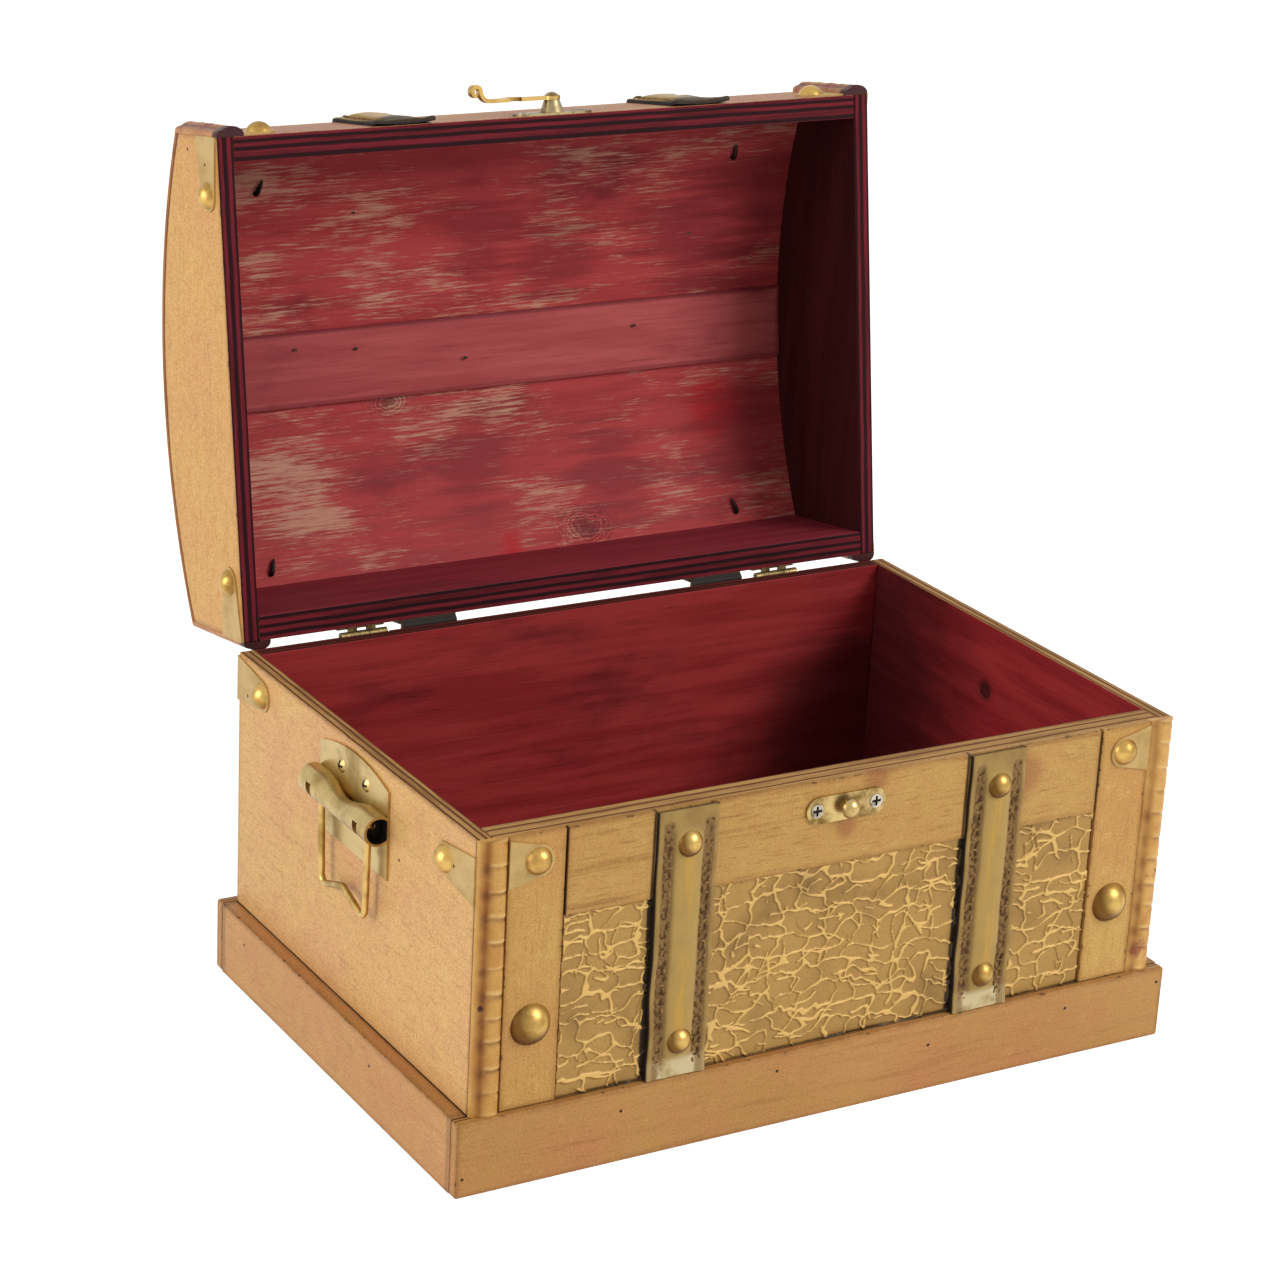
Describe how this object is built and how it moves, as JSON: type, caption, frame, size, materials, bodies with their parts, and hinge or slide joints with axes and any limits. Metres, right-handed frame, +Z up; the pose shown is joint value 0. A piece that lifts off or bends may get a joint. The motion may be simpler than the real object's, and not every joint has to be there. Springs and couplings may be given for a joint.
{
  "type": "treasure chest box",
  "caption": "Wooden treasure chest box with a hinged domed lid standing open, leather straps, an embossed front, a hook clasp and drop handles on its ends.",
  "frame": {"origin": "middle of the plinth's footprint, on the floor", "axes": "+X to the right of the chest, +Y to its back, +Z up; the front with the clasp faces -Y"},
  "size_m": [0.3076, 0.2822, 0.329],
  "materials": {
    "gold_wood": "worn gold paint",
    "red_wood": "red stain",
    "leather": "stitched, olive brown",
    "embossed_sheet": "embossed",
    "antique_brass": "antique, satin"
  },
  "bodies": {
    "chest": {"back_panel": "gold_wood", "bottom_panel": "red_wood", "corner_nails": "antique_brass", "embossed_panel": "embossed_sheet", "front_corner_plates": "antique_brass", "front_panel": "gold_wood", "handle_screws": "antique_brass", "hinge_pins": "antique_brass", "keeper_plate": "antique_brass", "keeper_post": "antique_brass", "keeper_screws": "antique_brass", "left_back_strap": "leather", "left_corner_bead": "gold_wood", "left_handle_plate": "antique_brass", "left_hinge_lower_leaf": "antique_brass", "left_panel": "gold_wood", "left_stile": "gold_wood", "left_strap": "leather", "lower_hinge_screws": "antique_brass", "plinth_back_board": "gold_wood", "plinth_front_board": "gold_wood", "plinth_left_board": "gold_wood", "plinth_right_board": "gold_wood", "right_back_strap": "leather", "right_corner_bead": "gold_wood", "right_handle_plate": "antique_brass", "right_hinge_lower_leaf": "antique_brass", "right_panel": "gold_wood", "right_stile": "gold_wood", "right_strap": "leather", "side_corner_plates": "antique_brass", "stile_nails": "antique_brass", "strap_studs": "antique_brass", "top_rail": "gold_wood"},
    "lid": {"dome_nails": "antique_brass", "hook_plate": "antique_brass", "hook_rivet": "antique_brass", "hook_screws": "antique_brass", "left_hinge_upper_leaf": "antique_brass", "lid_back_board": "gold_wood", "lid_back_left_bead": "gold_wood", "lid_back_right_bead": "gold_wood", "lid_corner_nails": "antique_brass", "lid_crown_batten": "red_wood", "lid_dome_sheet": "gold_wood", "lid_end_plates": "antique_brass", "lid_front_board": "gold_wood", "lid_front_left_bead": "gold_wood", "lid_front_plates": "antique_brass", "lid_front_right_bead": "gold_wood", "lid_left_end": "gold_wood", "lid_left_strap": "leather", "lid_right_end": "gold_wood", "lid_right_strap": "leather", "right_hinge_upper_leaf": "antique_brass", "strap_bridges": "leather", "upper_hinge_screws": "antique_brass"},
    "hook": {"latch_hook": "antique_brass"},
    "left_bail": {"left_bail": "antique_brass"},
    "right_bail": {"right_bail": "antique_brass"}
  },
  "joints": [
    {"name": "lid_hinge", "type": "hinge", "parent": "chest", "child": "lid", "pos_m": [0, 0.0964, 0.1295], "axis": [1, 0, 0], "range_deg": [0, 99], "deforming": ["strap_bridges"]},
    {"name": "hook_turn", "type": "hinge", "parent": "lid", "child": "hook", "pos_m": [0, 0.13203, 0.31612], "axis": [0, 0.1564, 0.9877], "range_deg": [0, 90]},
    {"name": "left_bail_swing", "type": "hinge", "parent": "chest", "child": "left_bail", "pos_m": [-0.1482, -0.005, 0.1085], "axis": [0, 1, 0], "range_deg": [0, 90]},
    {"name": "right_bail_swing", "type": "hinge", "parent": "chest", "child": "right_bail", "pos_m": [0.1482, -0.005, 0.1085], "axis": [0, -1, 0], "range_deg": [0, 90]}
  ]
}
